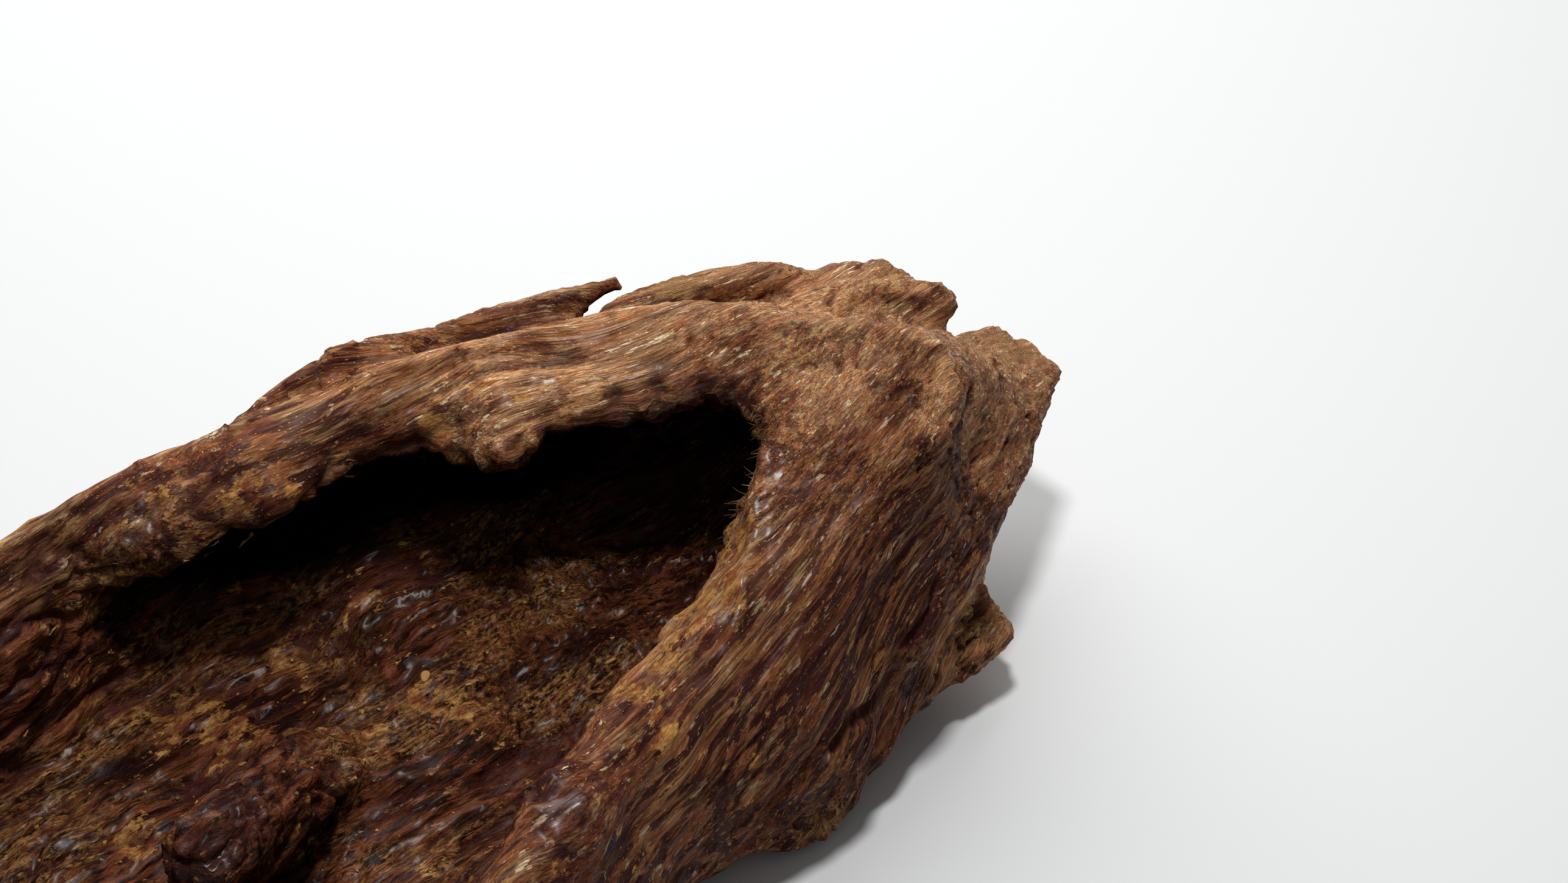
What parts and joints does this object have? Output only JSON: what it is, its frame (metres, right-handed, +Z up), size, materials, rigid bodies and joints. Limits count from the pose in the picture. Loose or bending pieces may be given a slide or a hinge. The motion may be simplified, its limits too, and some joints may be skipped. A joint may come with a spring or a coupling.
{
  "type": "piece of agarwood",
  "caption": "Long weathered piece of dark resinous agarwood, hollowed out like a boat, with a hooded end and a wall that leans over the hollow.",
  "frame": {"origin": "under the middle of the bounding box, on the surface that the wood lies on", "axes": "+X along the grain towards the hooded end, +Y towards the high wall that leans over the hollow, +Z up"},
  "size_m": [0.1064, 0.0338, 0.019],
  "materials": {
    "agarwood": "satin, resinous, with a rough torn grain"
  },
  "bodies": {
    "root": {"agarwood_piece": "agarwood"}
  },
  "joints": []
}
